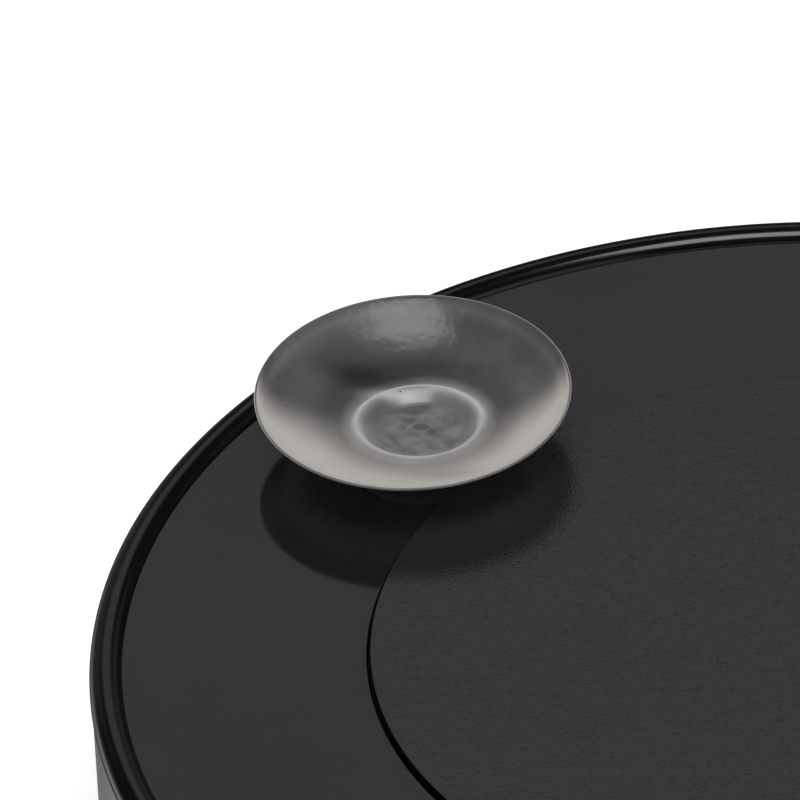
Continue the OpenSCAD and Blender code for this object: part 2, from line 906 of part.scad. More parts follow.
// The sliding knob, at its off end.
module switch_slider() {
    color("#3a3b3e")
    translate([0, -knob_travel / 2, 0])
        difference() {
            union() {
                block([block_x - switch_depth + 2.8, -knob_w / 2 - 0.7, switch_z - 2.9],
                    [block_x - 0.3, knob_w / 2 + 0.7, switch_z + 2.9]);
                block([block_x - 1, -knob_w / 2, switch_z - knob_h / 2],
                    [wall_r - 0.5, knob_w / 2, switch_z + knob_h / 2]);
            }
            for (y = [-1.4, 0, 1.4])
                block([wall_r - 1, y - 0.3, switch_z - knob_h], [wall_r, y + 0.3, switch_z + knob_h]);
        }
}

// Solder pins at the back of the switch.
module switch_terminals() {
    color("#c9a54c")
    for (y = [-4, 0, 4])
        block([block_x - switch_depth - 3, y - 0.6, switch_z - 0.3],
            [block_x - switch_depth + 1.4, y + 0.6, switch_z + 0.3]);
}

wire_r = 0.6;
wire_gap = 0.4;
pin_x = block_x - switch_depth - 3;
terminal_z = motor_bottom + 1;
wire_z = tab_top - 1;
wire_y = bay_y + bay_half_y + bay_t + 7.3;
function motor_side(angle, reach, z) = concat(pos_m + polar(motor_d / 2 + 3.4 + reach, angle), [z]);

// Wires end just short of the tabs and pins, where the solder would be.
module wire_battery_switch() {
    color("#a52a22")
    wire([[-bay_x + contact_t + wire_gap, cell_y2, wire_z], [-bay_x + 4, cell_y2, wire_z],
        [38, cell_y1, tab_top], [pin_x - 14, -20, switch_z + 3],
        [pin_x - 5, -4, switch_z], [pin_x - wire_gap, -4, switch_z]]);
}

module wire_switch_motor() {
    color("#a52a22")
    wire([[pin_x - wire_gap, 0, switch_z], [pin_x - 5, 0, switch_z], [pin_x - 24, -24, terminal_z + 1.4],
        [20, wire_y, terminal_z + 1.4], [-18, wire_y, terminal_z + 1.4],
        motor_side(-70, 7, terminal_z + 0.3), motor_side(-70, wire_gap, terminal_z)]);
}

module wire_motor_battery() {
    color("#1b1b1c")
    wire([motor_side(-110, wire_gap, terminal_z), motor_side(-110, 6, terminal_z + 0.3),
        [-46, cell_y1 + 21, terminal_z + 3],
        [-bay_x - 6, cell_y1 + 2, wire_z], [-bay_x - wire_gap, cell_y1, wire_z]]);
}

base_housing();
bottom_cover();
battery_door();
foot_front_left();
foot_front_right();
foot_rear_left();
foot_rear_right();
cover_screws();
platter();
centre_disc();
suction_cup_1();
suction_cup_2();
suction_cup_3();
platter_screw();
spindle();
spindle_bush();
lower_bush();
retaining_clip();
ball_cage();
bearing_balls();
output_gear();
gear_c();
gear_b();
gear_a();
gear_pins();
gear_plate();
gear_plate_screws();
motor_can();
motor_endcap();
motor_magnets();
motor_terminals();
motor_shaft();
motor_armature();
motor_pinion();
battery_1();
battery_2();
contact_link();
contact_positive();
contact_negative();
battery_spring_1();
battery_spring_2();
switch_body();
switch_slider();
switch_terminals();
wire_battery_switch();
wire_switch_motor();
wire_motor_battery();
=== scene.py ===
# %% [markdown]
# # A turntable display stand
#
# The stand is a low black drum with a turning top. Soft clear cups on the top grip a plate or the foot of a
# display case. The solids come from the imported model, which is loaded first and never moved. Everything
# after that is about looks: finer skins for the pieces that show, and a finish for every piece, so that the
# part looks right from any side.

import math

import bmesh
import bpy
from mathutils import Matrix, Vector


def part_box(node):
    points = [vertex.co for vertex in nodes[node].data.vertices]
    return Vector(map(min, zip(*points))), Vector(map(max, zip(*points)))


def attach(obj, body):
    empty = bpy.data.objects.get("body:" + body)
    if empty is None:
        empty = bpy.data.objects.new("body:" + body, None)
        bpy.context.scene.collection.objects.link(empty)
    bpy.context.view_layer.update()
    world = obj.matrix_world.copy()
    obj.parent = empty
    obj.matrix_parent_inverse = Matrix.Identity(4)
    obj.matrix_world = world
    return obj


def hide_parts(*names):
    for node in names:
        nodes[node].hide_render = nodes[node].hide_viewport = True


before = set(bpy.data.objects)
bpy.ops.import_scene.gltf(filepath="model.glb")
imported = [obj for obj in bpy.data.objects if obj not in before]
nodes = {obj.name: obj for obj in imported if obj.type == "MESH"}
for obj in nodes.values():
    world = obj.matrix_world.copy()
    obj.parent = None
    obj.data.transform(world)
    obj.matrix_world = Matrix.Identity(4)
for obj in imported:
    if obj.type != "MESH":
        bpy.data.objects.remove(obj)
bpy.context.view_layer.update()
MM = 0.001

# %% [markdown]
# ## Camera
#
# A long lens far away gives the flat perspective of a product close-up. The camera could be placed by eye,
# but here it is worked out from the view's pitch and roll and from the point of the top that the middle of
# the picture looks at, so the numbers can be read and changed one at a time.

# %% Camera from pitch, roll and target
VIEW_PITCH = math.radians(36.186)
VIEW_ROLL = math.radians(-2.822)
VIEW_TARGET = Vector((-50.067, 55.859, 40.0)) * MM
VIEW_DISTANCE = 1.684968
LENS_MM = 585.0
SENSOR_MM = 36.0

forward = Vector((0.0, math.cos(VIEW_PITCH), -math.sin(VIEW_PITCH)))
level_right = Vector((1.0, 0.0, 0.0))
level_up = Vector((0.0, math.sin(VIEW_PITCH), math.cos(VIEW_PITCH)))
right = level_right * math.cos(VIEW_ROLL) + level_up * math.sin(VIEW_ROLL)
up = level_up * math.cos(VIEW_ROLL) - level_right * math.sin(VIEW_ROLL)

camera_data = bpy.data.cameras.new("close_up")
camera_data.lens = LENS_MM
camera_data.sensor_width = SENSOR_MM
camera_data.clip_start = 0.05
camera_data.clip_end = 50.0
camera = bpy.data.objects.new("close_up", camera_data)
bpy.context.collection.objects.link(camera)
aimed = Matrix((right, up, -forward)).transposed().to_4x4()
camera.matrix_world = Matrix.Translation(VIEW_TARGET - forward * VIEW_DISTANCE) @ aimed
bpy.context.scene.camera = camera
print("camera at", tuple(round(v, 3) for v in camera.location))

# %% [markdown]
# ## Shader helpers
#
# A finish is a small network of nodes. A few helpers keep the networks short to write: they add a node with
# its settings and input values, start a material or a node group, and make the sums, ramps, tints and bumps
# that come back everywhere. Other links are plain lines of code.

# %% Helpers for shader networks
def add_node(tree, kind, values=None, **settings):
    made = tree.nodes.new(kind)
    for key, value in settings.items():
        setattr(made, key, value)
    for key, value in (values or {}).items():
        made.inputs[key].default_value = value
    return made


def start_finish(name, values):
    finish = bpy.data.materials.new(name)
    finish.use_nodes = True
    tree = finish.node_tree
    shader = tree.nodes["Principled BSDF"]
    for key, value in values.items():
        shader.inputs[key].default_value = value
    place = add_node(tree, "ShaderNodeTexCoord")
    return finish, tree, shader, place.outputs["Object"]


def start_group(name, inputs, outputs):
    group = bpy.data.node_groups.new(name, "ShaderNodeTree")
    for label, kind, value in inputs:
        socket = group.interface.new_socket(label, in_out="INPUT", socket_type=kind)
        if value is not None:
            socket.default_value = value
    for label, kind in outputs:
        group.interface.new_socket(label, in_out="OUTPUT", socket_type=kind)
    return group, add_node(group, "NodeGroupInput"), add_node(group, "NodeGroupOutput")


def use_group(tree, group, place, values):
    made = add_node(tree, "ShaderNodeGroup")
    made.node_tree = group
    tree.links.new(place, made.inputs["Place"])
    for key, value in values.items():
        made.inputs[key].default_value = value
    return made


def math_node(tree, operation, first, second=None, third=None, clamp=False):
    made = add_node(tree, "ShaderNodeMath", operation=operation, use_clamp=clamp)
    for socket, value in zip(made.inputs, (first, second, third)):
        if value is None:
            continue
        if isinstance(value, (int, float)):
            socket.default_value = value
        else:
            tree.links.new(value, socket)
    return made.outputs[0]


def ramp(tree, value, low, high, to_low=0.0, to_high=1.0):
    ends = {"From Min": low, "From Max": high, "To Min": to_low, "To Max": to_high}
    made = add_node(tree, "ShaderNodeMapRange", ends, interpolation_type="SMOOTHSTEP")
    tree.links.new(value, made.inputs["Value"])
    return made.outputs["Result"]


def tint(tree, share, dark, light):
    made = add_node(tree, "ShaderNodeMix", data_type="RGBA")
    tree.links.new(share, made.inputs["Factor"])
    for socket, colour in zip([i for i in made.inputs if i.type == "RGBA"], (dark, light)):
        if isinstance(colour, tuple):
            socket.default_value = (*colour, 1.0)
        else:
            tree.links.new(colour, socket)
    return next(o for o in made.outputs if o.type == "RGBA")


def bump(tree, shader, height, depth_mm):
    made = add_node(tree, "ShaderNodeBump", {"Strength": 1.0, "Distance": depth_mm * MM})
    tree.links.new(height, made.inputs["Height"])
    tree.links.new(made.outputs["Normal"], shader.inputs["Normal"])


print("shader helpers ready")

# %% [markdown]
# ## Shared surface effects
#
# Moulded plastic is never perfectly even. Three effects are node groups that are built once: the soft
# unevenness that a mould leaves, the wrinkled grain of the centre disc, and the few specks and smears of
# dust that any dark surface collects. All of them read Object coordinates, so the pattern stays on the
# piece.

# %% Group: mould texture
mould_texture, mould_in, mould_out = start_group(
    "Mould texture",
    [("Place", "NodeSocketVector", None), ("Grain Per Metre", "NodeSocketFloat", 2500.0),
     ("Patch Per Metre", "NodeSocketFloat", 60.0)],
    [("Height", "NodeSocketFloat"), ("Patches", "NodeSocketFloat")])
fine = add_node(mould_texture, "ShaderNodeTexNoise", {"Detail": 2.0, "Roughness": 0.6})
patch = add_node(mould_texture, "ShaderNodeTexNoise", {"Detail": 3.0, "Roughness": 0.5})
for made, label in ((fine, "Grain Per Metre"), (patch, "Patch Per Metre")):
    mould_texture.links.new(mould_in.outputs["Place"], made.inputs["Vector"])
    mould_texture.links.new(mould_in.outputs[label], made.inputs["Scale"])
mould_texture.links.new(fine.outputs["Fac"], mould_out.inputs["Height"])
mould_texture.links.new(ramp(mould_texture, patch.outputs["Fac"], 0.3, 0.7), mould_out.inputs["Patches"])
print("group:", mould_texture.name)

# %% Group: wrinkled leather-like grain
wrinkle_grain, wrinkle_in, wrinkle_out = start_group(
    "Wrinkle grain",
    [("Place", "NodeSocketVector", None), ("Cells Per Metre", "NodeSocketFloat", 900.0)],
    [("Height", "NodeSocketFloat"), ("Creases", "NodeSocketFloat")])
warp = add_node(wrinkle_grain, "ShaderNodeTexNoise", {"Detail": 2.0, "Scale": 700.0})
shift = add_node(wrinkle_grain, "ShaderNodeVectorMath", {"Scale": 0.0011}, operation="SCALE")
moved = add_node(wrinkle_grain, "ShaderNodeVectorMath", operation="ADD")
cells = add_node(wrinkle_grain, "ShaderNodeTexVoronoi", feature="DISTANCE_TO_EDGE")
pores = add_node(wrinkle_grain, "ShaderNodeTexNoise", {"Detail": 3.0, "Scale": 2600.0, "Roughness": 0.6})
wrinkle_grain.links.new(wrinkle_in.outputs["Place"], warp.inputs["Vector"])
wrinkle_grain.links.new(wrinkle_in.outputs["Place"], pores.inputs["Vector"])
wrinkle_grain.links.new(warp.outputs["Color"], shift.inputs[0])
wrinkle_grain.links.new(wrinkle_in.outputs["Place"], moved.inputs[0])
wrinkle_grain.links.new(shift.outputs["Vector"], moved.inputs[1])
wrinkle_grain.links.new(moved.outputs["Vector"], cells.inputs["Vector"])
wrinkle_grain.links.new(wrinkle_in.outputs["Cells Per Metre"], cells.inputs["Scale"])
pad = ramp(wrinkle_grain, cells.outputs["Distance"], 0.02, 0.28)
rough_pad = math_node(wrinkle_grain, "MULTIPLY_ADD", pores.outputs["Fac"], 0.55, pad)
wrinkle_grain.links.new(rough_pad, wrinkle_out.inputs["Height"])
wrinkle_grain.links.new(ramp(wrinkle_grain, pad, 0.0, 0.6, 1.0, 0.0), wrinkle_out.inputs["Creases"])
print("group:", wrinkle_grain.name)

# %% Group: specks and smears of dust
dust, dust_in, dust_out = start_group(
    "Dust",
    [("Place", "NodeSocketVector", None), ("Specks Per Metre", "NodeSocketFloat", 220.0),
     ("Speck Share", "NodeSocketFloat", 0.12)],
    [("Specks", "NodeSocketFloat"), ("Smears", "NodeSocketFloat")])
dots = add_node(dust, "ShaderNodeTexVoronoi", feature="F1")
picked = add_node(dust, "ShaderNodeSeparateColor")
smear = add_node(dust, "ShaderNodeTexNoise", {"Detail": 4.0, "Scale": 38.0, "Distortion": 0.6})
dust.links.new(dust_in.outputs["Place"], dots.inputs["Vector"])
dust.links.new(dust_in.outputs["Specks Per Metre"], dots.inputs["Scale"])
dust.links.new(dust_in.outputs["Place"], smear.inputs["Vector"])
dust.links.new(dots.outputs["Color"], picked.inputs["Color"])
near = ramp(dust, dots.outputs["Distance"], 0.02, 0.05, 1.0, 0.0)
few = math_node(dust, "LESS_THAN", picked.outputs[0], dust_in.outputs["Speck Share"])
dust.links.new(math_node(dust, "MULTIPLY", near, few), dust_out.inputs["Specks"])
dust.links.new(ramp(dust, smear.outputs["Fac"], 0.48, 0.72), dust_out.inputs["Smears"])
print("group:", dust.name)

# %% [markdown]
# ## Finishes of the black mouldings
#
# The rim is polished, the ring is a fine satin that still mirrors the cup, and the disc carries a wrinkled
# grain that breaks the mirror up. All are black plastics, some a little deeper than others, and they differ
# mostly in roughness and relief. Seams and narrow gaps get a dull black of their own: a painted shade that
# stands for the shadow that falls in them.

# %% Black plastic finishes
PLASTIC_IOR = 1.5
BLACK = (0.0125, 0.0125, 0.0132)
RIM_BLACK = (0.0028, 0.0028, 0.003)
DISC_BLACK = (0.0162, 0.0162, 0.0175)
RING_BLACK = (0.01, 0.01, 0.0109)
WALL_BLACK = (0.02, 0.02, 0.0215)
DUSTY = (0.075, 0.074, 0.072)
SMEAR_TINT = 0.02
SPECK_DULLING = 0.4


def black_plastic(name, roughness, patch_depth, grain_per_metre, grain_mm, speck_share, colour=BLACK,
                  dulling=(0.7, 0.95, 0.3), specular=0.5):
    """Dulling says from where to where the face turns dull as it turns away from the eye, and how much."""
    finish, tree, shader, place = start_finish(name, {"IOR": PLASTIC_IOR, "Specular IOR Level": specular})
    scales = {"Grain Per Metre": grain_per_metre, "Patch Per Metre": 45.0}
    skin = use_group(tree, mould_texture, place, scales)
    dirt = use_group(tree, dust, place, {"Speck Share": speck_share})
    specks = dirt.outputs["Specks"]
    soiled = math_node(tree, "MULTIPLY_ADD", dirt.outputs["Smears"], SMEAR_TINT, specks, clamp=True)
    tree.links.new(tint(tree, soiled, colour, DUSTY), shader.inputs["Base Color"])
    slant = add_node(tree, "ShaderNodeLayerWeight", {"Blend": 0.5})
    low, high, gain = dulling
    duller = ramp(tree, slant.outputs["Facing"], low, high, roughness, roughness + gain)
    varied = math_node(tree, "MULTIPLY_ADD", skin.outputs["Patches"], patch_depth, duller)
    dusted = math_node(tree, "MULTIPLY_ADD", specks, SPECK_DULLING, varied)
    tree.links.new(dusted, shader.inputs["Roughness"])
    bump(tree, shader, skin.outputs["Height"], grain_mm)
    return finish


rim_gloss = black_plastic("rim_gloss", roughness=0.16, patch_depth=0.02, grain_per_metre=420.0, grain_mm=0.0012,
                          speck_share=0.05, colour=RIM_BLACK, dulling=(0.52, 0.85, 0.5))
ring_satin = black_plastic("ring_satin", roughness=0.08, patch_depth=0.03, grain_per_metre=1800.0,
                           grain_mm=0.0006, speck_share=0.12, colour=RING_BLACK, specular=0.44)
wall_satin = black_plastic("wall_satin", roughness=0.3, patch_depth=0.05, grain_per_metre=3600.0,
                           grain_mm=0.004, speck_share=0.05, colour=WALL_BLACK)
# Painted shade: a dull, almost unreflecting black that stands for the shadow in seams and narrow gaps.
painted_gap_shade = black_plastic("painted_gap_shade", roughness=0.9, patch_depth=0.05, grain_per_metre=420.0,
                          grain_mm=0.0012, speck_share=0.0, colour=RIM_BLACK, specular=0.1)
cover_matt = black_plastic("cover_matt", roughness=0.46, patch_depth=0.08, grain_per_metre=2600.0,
                           grain_mm=0.02, speck_share=0.04)
print("black finishes:", [f.name for f in (rim_gloss, ring_satin, wall_satin, painted_gap_shade, cover_matt)])

# %% Grained finish of the disc
DISC_ROUGHNESS = 0.08
PATCH_DULLING = 0.03
CREASE_DULLING = 0.1
GRAIN_MM = 0.0105
disc_grain, tree, shader, place = start_finish("disc_grain", {"IOR": PLASTIC_IOR})
grain = use_group(tree, wrinkle_grain, place, {"Cells Per Metre": 1900.0})
dirt = use_group(tree, dust, place, {"Speck Share": 0.14})
skin = use_group(tree, mould_texture, place, {"Patch Per Metre": 30.0})
tree.links.new(tint(tree, dirt.outputs["Specks"], DISC_BLACK, DUSTY), shader.inputs["Base Color"])
worn = math_node(tree, "MULTIPLY_ADD", skin.outputs["Patches"], PATCH_DULLING, DISC_ROUGHNESS)
creased = math_node(tree, "MULTIPLY_ADD", grain.outputs["Creases"], CREASE_DULLING, worn)
tree.links.new(creased, shader.inputs["Roughness"])
bump(tree, shader, grain.outputs["Height"], GRAIN_MM)
print("finish:", disc_grain.name)

# %% [markdown]
# ## Turned pieces with Geometry Nodes
#
# The top, the disc, the cups and the feet are all turned shapes: a section swept once round an axis. In the
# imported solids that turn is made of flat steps, which a gloss finish would give away. So one node tree does
# the sweep again, finely: it makes a grid with one row per step of the turn and one point in each row per
# point of the section, reads the section's points by index and turns each row a little further.

# %% Node tree: sweep a section round the vertical axis
turned_tree = bpy.data.node_groups.new("Turned piece", "GeometryNodeTree")
turned_ids = {}
for label, kind in (("Section", "NodeSocketGeometry"), ("Steps", "NodeSocketInt"), ("Weld", "NodeSocketFloat")):
    turned_ids[label] = turned_tree.interface.new_socket(label, in_out="INPUT", socket_type=kind).identifier
turned_tree.interface.new_socket("Piece", in_out="OUTPUT", socket_type="NodeSocketGeometry")
t_in = add_node(turned_tree, "NodeGroupInput")
t_out = add_node(turned_tree, "NodeGroupOutput")
size = add_node(turned_tree, "GeometryNodeAttributeDomainSize")
grid = add_node(turned_tree, "GeometryNodeMeshGrid")
index = add_node(turned_tree, "GeometryNodeInputIndex")
sample = add_node(turned_tree, "GeometryNodeSampleIndex", data_type="FLOAT_VECTOR")
where = add_node(turned_tree, "GeometryNodeInputPosition")
turn = add_node(turned_tree, "ShaderNodeVectorRotate", rotation_type="Z_AXIS")
put = add_node(turned_tree, "GeometryNodeSetPosition")
weld = add_node(turned_tree, "GeometryNodeMergeByDistance")
smooth = add_node(turned_tree, "GeometryNodeSetShadeSmooth")
links = turned_tree.links
count = size.outputs["Point Count"]
links.new(t_in.outputs["Section"], size.inputs[0])
links.new(math_node(turned_tree, "ADD", t_in.outputs["Steps"], 1.0), grid.inputs["Vertices X"])
links.new(count, grid.inputs["Vertices Y"])
links.new(t_in.outputs["Section"], sample.inputs["Geometry"])
links.new(where.outputs["Position"], sample.inputs["Value"])
links.new(math_node(turned_tree, "MODULO", index.outputs["Index"], count), sample.inputs["Index"])
row = math_node(turned_tree, "FLOOR", math_node(turned_tree, "DIVIDE", index.outputs["Index"], count))
share = math_node(turned_tree, "DIVIDE", row, t_in.outputs["Steps"])
links.new(math_node(turned_tree, "MULTIPLY", share, 2 * math.pi), turn.inputs["Angle"])
links.new(sample.outputs["Value"], turn.inputs["Vector"])
links.new(grid.outputs["Mesh"], put.inputs["Geometry"])
links.new(turn.outputs["Vector"], put.inputs["Position"])
links.new(put.outputs["Geometry"], weld.inputs["Geometry"])
links.new(t_in.outputs["Weld"], weld.inputs["Distance"])
links.new(weld.outputs["Geometry"], smooth.inputs["Geometry"])
links.new(smooth.outputs["Geometry"], t_out.inputs["Piece"])
print("tree:", turned_tree.name, "inputs:", list(turned_ids))


# %% Sections with rounded corners, and the call that turns them
WELD_REACH = 2e-6


def arc(centre, radius, start, end, steps):
    angles = [math.radians(start + (end - start) * i / steps) for i in range(steps + 1)]
    return [(centre[0] + radius * math.cos(a), centre[1] + radius * math.sin(a)) for a in angles]


def curve(first, pull, last, steps):
    shares = [i / steps for i in range(steps + 1)]
    return [tuple((1 - t) ** 2 * a + 2 * t * (1 - t) * b + t * t * c for a, b, c in zip(first, pull, last))
            for t in shares]


def rounded(corners, steps=5, guard=0.06):
    """Corners are (radius, height, fillet). Each fillet is an arc with a guard point on either side of it."""
    points = []
    for i, (x, z, fillet) in enumerate(corners):
        if not fillet:
            points.append((x, z))
            continue
        here = Vector((x, z))
        before = (Vector(corners[i - 1][:2]) - here).normalized()
        after = (Vector(corners[(i + 1) % len(corners)][:2]) - here).normalized()
        half = before.angle(after) / 2
        reach = fillet / math.tan(half)
        centre = here + (before + after).normalized() * (fillet / math.sin(half))
        start, end = here + before * reach, here + after * reach
        points.append(tuple(start + before * guard))
        for k in range(steps + 1):
            spot = start.lerp(end, k / steps) - centre
            points.append(tuple(centre + spot.normalized() * fillet))
        points.append(tuple(end + after * guard))
    return points


def plain_piece(holder, name):
    """Replaces an object with modifiers by a plain mesh whose faces point outwards."""
    graph = bpy.context.evaluated_depsgraph_get()
    mesh = bpy.data.meshes.new_from_object(holder.evaluated_get(graph), depsgraph=graph)
    holder.modifiers.clear()
    mesh.name = name
    holder.data = mesh
    form = bmesh.new()
    form.from_mesh(mesh)
    bmesh.ops.recalc_face_normals(form, faces=form.faces)
    form.to_mesh(mesh)
    form.free()


def turned_piece(name, section_mm, finish, steps, middle=(0.0, 0.0)):
    outline = bpy.data.meshes.new(name)
    outline.from_pydata([(x * MM, 0.0, z * MM) for x, z in section_mm], [], [])
    holder = bpy.data.objects.new(name, outline)
    bpy.context.collection.objects.link(holder)
    sweep = holder.modifiers.new("Turned piece", "NODES")
    sweep.node_group = turned_tree
    sweep[turned_ids["Steps"]] = steps
    sweep[turned_ids["Weld"]] = WELD_REACH
    plain_piece(holder, name)
    holder.data.materials.clear()
    holder.data.materials.append(finish)
    holder.data.transform(Matrix.Translation((middle[0] * MM, middle[1] * MM, 0.0)))
    return holder


print("section helpers ready")

# %% [markdown]
# ## The turning top
#
# The top is one moulding: a flat plate with a rounded bead as its rim, a stiffening rib and a hub
# underneath, and a shallow recess for the centre disc. Only the bead is polished, so after the sweep the
# faces outside the bead's foot get the gloss finish and the rest the satin one. The rim's lower side and
# the gap beside the disc get a painted shade, a dull black that stands for the shadow there. A tiny hollow
# fillet at the bead's foot keeps the line there soft.

# %% Sizes read from the solids
PLATE_T = 2.4
NECK_TIP = 2.9
ring_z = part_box("suction_cup_1")[0].z / MM + PLATE_T + NECK_TIP
rim_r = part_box("platter")[1].x / MM
rim_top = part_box("platter")[1].z / MM
hub_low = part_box("platter")[0].z / MM
disc_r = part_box("centre_disc")[1].x / MM
disc_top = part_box("centre_disc")[1].z / MM
disc_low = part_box("centre_disc")[0].z / MM
print("ring height:", round(ring_z, 2), "rim radius:", round(rim_r, 2), "disc radius:", round(disc_r, 2))

# %% The top
BEAD_R = 2.2
FOOT_FILLET = 0.03
HUB_R = 9
RIB_H = 2.4
DISC_GAP = 0.4
# The rim's faces below this height over the bead's middle get the painted shade.
PAINTED_SHADE_TOP = 0.3
bead = (rim_r - BEAD_R, rim_top - BEAD_R)
foot_rise = ring_z - bead[1] + FOOT_FILLET
foot_run = math.sqrt((BEAD_R + FOOT_FILLET) ** 2 - foot_rise ** 2)
foot_angle = math.degrees(math.atan2(foot_rise, -foot_run))
foot_centre = (bead[0] - foot_run, ring_z + FOOT_FILLET)
plate_low = ring_z - PLATE_T
plate_r = rim_r - 3.4
rib_out, rib_in = plate_r - 2.5, plate_r - 4.3
rim_low = ring_z - 1.25
recess_r = disc_r + DISC_GAP

under = rounded([(0, hub_low, 0), (HUB_R, hub_low, 0.3), (HUB_R, plate_low, 0.4), (rib_in, plate_low, 0.2),
                 (rib_in, plate_low - RIB_H, 0.3), (rib_out, plate_low - RIB_H, 0.3),
                 (rib_out, plate_low, 0.2), (plate_r, plate_low, 0.25), (plate_r, rim_low, 0.1),
                 (rim_r, rim_low, 0.12), (rim_r, bead[1], 0)])
over = (arc(bead, BEAD_R, 0, foot_angle, 44)[1:]
        + arc(foot_centre, FOOT_FILLET, foot_angle - 180, -90, 7)[1:])
inside = rounded([(foot_centre[0] - 0.06, ring_z, 0), (recess_r, ring_z, 0.14), (recess_r, disc_low, 0.1),
                  (disc_r - 1, disc_low, 0), (0, disc_low, 0)])
top = turned_piece("turning_top", under + over + inside, ring_satin, 400)
top.data.materials.append(rim_gloss)
top.data.materials.append(painted_gap_shade)
# Painted shade: the rim's lower side and the walls of the gap beside the disc get the dull black that stands
# for their shadow.
for face in top.data.polygons:
    out, rise = math.hypot(face.center.x, face.center.y) / MM, face.center.z / MM
    if out > foot_centre[0] - FOOT_FILLET:
        face.material_index = 1 if rise > bead[1] + PAINTED_SHADE_TOP else 2
    elif disc_r - 2 < out < recess_r + 0.02 and disc_low - 0.1 < rise < ring_z - 0.1:
        face.material_index = 2
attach(top, "turning_top")
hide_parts("platter")
rim_faces = sum(face.material_index == 1 for face in top.data.polygons)
print("turning_top faces:", len(top.data.polygons), "of the rim:", rim_faces)
print("turning_top finishes:", [m.name for m in top.data.materials])

# %% [markdown]
# ## The centre disc
#
# The disc is a separate grained plate that drops into the recess and stands a little proud of the ring. Its
# edge is rounded in the section, because the thin dark gap round it is one of the lines that people notice
# first. The side of the disc gets a painted shade, the dull black that stands for the shadow in the gap.

# %% Centre disc
disc_side = (disc_r - 0.05) * MM
disc_section = rounded([(0, disc_low, 0), (disc_r, disc_low, 0.15), (disc_r, disc_top, 0.14),
                        (0, disc_top, 0)])
disc = turned_piece("disc_cover", disc_section, disc_grain, 320)
disc.data.materials.append(painted_gap_shade)
# Painted shade: the faces of the disc's side get the dull black that stands for the shadow in the gap.
for face in disc.data.polygons:
    face.material_index = int(math.hypot(face.center.x, face.center.y) > disc_side)
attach(disc, "turning_top")
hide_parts("centre_disc")
print("disc_cover faces:", len(disc.data.polygons))

# %% [markdown]
# ## Clear suction cups
#
# A cup is moulded in soft clear vinyl: a thin dish with a rounded lip, a well in the middle with the mark
# of the mould gate, and a neck that is pushed through the top. The vinyl is slightly milky, so where the
# eye looks along the wall it turns pale, and where it looks straight through, the black ring shows. A rule
# gives both: Layer Weight tells how far the wall turns from the eye, and four values kept at each point say
# how hazy the wall is, how much it pales when seen edge-on, how much sooner it does so towards the sides,
# and where the floor of the well is crinkled. The first value also holds a painted highlight on the far wall
# of the well and a painted dark reflection on the dish.

# %% Soft clear vinyl
CLEAR = (0.03, 0.03, 0.036)
PALE_HAZE_AND_HIGHLIGHT = (0.88, 0.88, 0.9)
MILKY = (0.97, 0.92, 0.86)
SPECK_GREY = (0.12, 0.12, 0.12)
PALE_FROM, PALE_TO = 0.4, 0.6
FOLD_DARK, FOLD_LIGHT = -0.35, 0.5
FOLD_RELIEF = 0.5
SKIN_RELIEF = 0.16
VINYL_RELIEF_MM = 0.5
soft_clear, tree, shader, place = start_finish("soft_clear", {"IOR": 1.45, "Transmission Weight": 0.45})
skin = use_group(tree, mould_texture, place, {"Grain Per Metre": 420.0, "Patch Per Metre": 75.0})
dirt = use_group(tree, dust, place, {"Specks Per Metre": 260.0, "Speck Share": 0.1})
slant = add_node(tree, "ShaderNodeLayerWeight", {"Blend": 0.5})
haze_and_painted_light, edge, side, crinkle = (add_node(tree, "ShaderNodeAttribute", attribute_name=name).outputs["Fac"]
                             for name in ("haze_and_painted_light", "edge", "side", "crinkle"))
folds = add_node(tree, "ShaderNodeTexNoise", {"Scale": 380.0, "Detail": 1.0, "Distortion": 0.5})
tree.links.new(place, folds.inputs["Vector"])
fold_tone = ramp(tree, folds.outputs["Fac"], 0.35, 0.7, FOLD_DARK, FOLD_LIGHT)
cloud = math_node(tree, "MULTIPLY_ADD", skin.outputs["Patches"], 0.6, 0.65)
cloud = math_node(tree, "ADD", cloud, math_node(tree, "MULTIPLY", fold_tone, crinkle))
# The pale share here includes a painted highlight on the well's far wall and a painted dark reflection on the
# dish.
through = tint(tree, math_node(tree, "MULTIPLY", haze_and_painted_light, cloud), CLEAR, PALE_HAZE_AND_HIGHLIGHT)
turned_away = math_node(tree, "ADD", slant.outputs["Facing"], side)
along_wall = math_node(tree, "MULTIPLY", ramp(tree, turned_away, PALE_FROM, PALE_TO), edge)
wall_colour = tint(tree, along_wall, through, MILKY)
tree.links.new(tint(tree, dirt.outputs["Specks"], wall_colour, SPECK_GREY), shader.inputs["Base Color"])
dulled = math_node(tree, "MULTIPLY_ADD", skin.outputs["Patches"], 0.1, 0.23)
tree.links.new(dulled, shader.inputs["Roughness"])
skin_relief = math_node(tree, "MULTIPLY", skin.outputs["Height"], math_node(tree, "MINIMUM", haze_and_painted_light, SKIN_RELIEF))
fold_height = math_node(tree, "MULTIPLY", folds.outputs["Fac"], crinkle)
relief = math_node(tree, "ADD", skin_relief, math_node(tree, "MULTIPLY", fold_height, FOLD_RELIEF))
bump(tree, shader, relief, VINYL_RELIEF_MM)
print("finish:", soft_clear.name)

